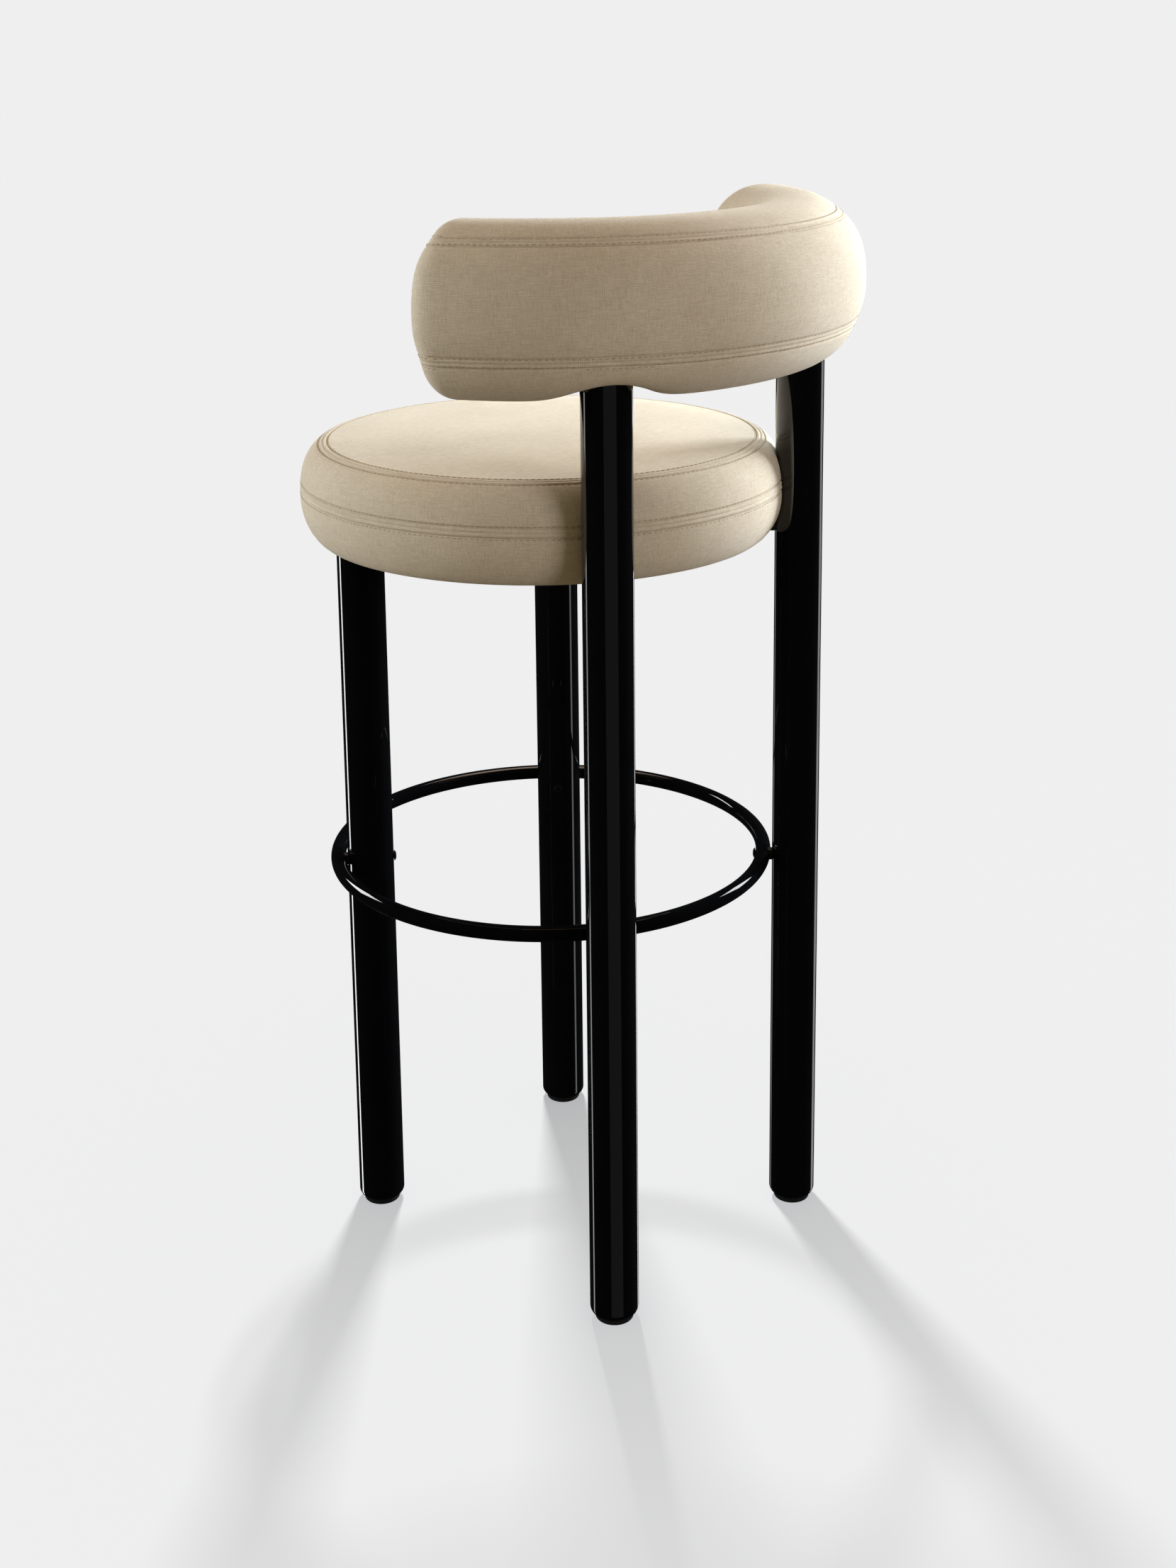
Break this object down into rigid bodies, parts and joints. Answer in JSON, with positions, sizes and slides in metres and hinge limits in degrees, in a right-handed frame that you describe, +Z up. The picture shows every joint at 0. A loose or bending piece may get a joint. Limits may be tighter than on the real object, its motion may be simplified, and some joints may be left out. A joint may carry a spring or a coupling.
{
  "type": "bar stool with footrest",
  "caption": "Bar-height stool: four upright black tube legs, ring footrest, round sewn seat cushion and a C-shaped cushioned backrest on the rear legs.",
  "frame": {"origin": "on the floor, under the middle of the stool's outline seen from above", "axes": "+Z is up, the sitter faces -Y, and +X is to the right seen from the front"},
  "size_m": [0.534, 0.534, 1.0026],
  "materials": {
    "lacquer": "gloss",
    "black_plastic": "satin",
    "black_steel": "satin",
    "zinc_steel": "satin",
    "linen": "matte",
    "foam": "matte",
    "plywood": "matte",
    "dust_cloth": "matte"
  },
  "bodies": {
    "root": {"front_leg_right": "lacquer", "front_leg_left": "lacquer", "rear_leg_right": "lacquer", "rear_leg_left": "lacquer", "footrest_ring": "lacquer", "front_leg_plate_right": "lacquer", "front_leg_plate_left": "lacquer", "front_glide_right": "black_plastic", "rear_glide_right": "black_plastic", "front_glide_left": "black_plastic", "rear_glide_left": "black_plastic", "front_ring_spacer_right": "black_plastic", "rear_ring_spacer_right": "black_plastic", "front_ring_spacer_left": "black_plastic", "rear_ring_spacer_left": "black_plastic", "rear_leg_cap_right": "black_plastic", "rear_leg_cap_left": "black_plastic", "front_ring_bolt_right": "black_steel", "rear_ring_bolt_right": "black_steel", "front_ring_bolt_left": "black_steel", "rear_ring_bolt_left": "black_steel", "rear_leg_thread_insert_right": "zinc_steel", "rear_leg_thread_insert_left": "zinc_steel", "plate_screw_inner_right": "zinc_steel", "plate_screw_fore_right": "zinc_steel", "plate_screw_rear_right": "zinc_steel", "plate_screw_inner_left": "zinc_steel", "plate_screw_fore_left": "zinc_steel", "plate_screw_rear_left": "zinc_steel", "rear_seat_spacer_right": "zinc_steel", "rear_seat_bolt_right": "zinc_steel", "rear_seat_spacer_left": "zinc_steel", "rear_seat_bolt_left": "zinc_steel", "backrest_bolt_lower_right": "zinc_steel", "backrest_bolt_upper_right": "zinc_steel", "backrest_bolt_lower_left": "zinc_steel", "backrest_bolt_upper_left": "zinc_steel", "seat_cover_top": "linen", "seat_cover_band": "linen", "seat_cover_bottom": "linen", "backrest_cover_band": "linen", "backrest_cover_wrap": "linen", "seat_foam": "foam", "backrest_foam_inner": "foam", "backrest_foam_outer": "foam", "seat_board": "plywood", "backrest_board": "plywood", "seat_dust_cover": "dust_cloth"}
  },
  "joints": []
}
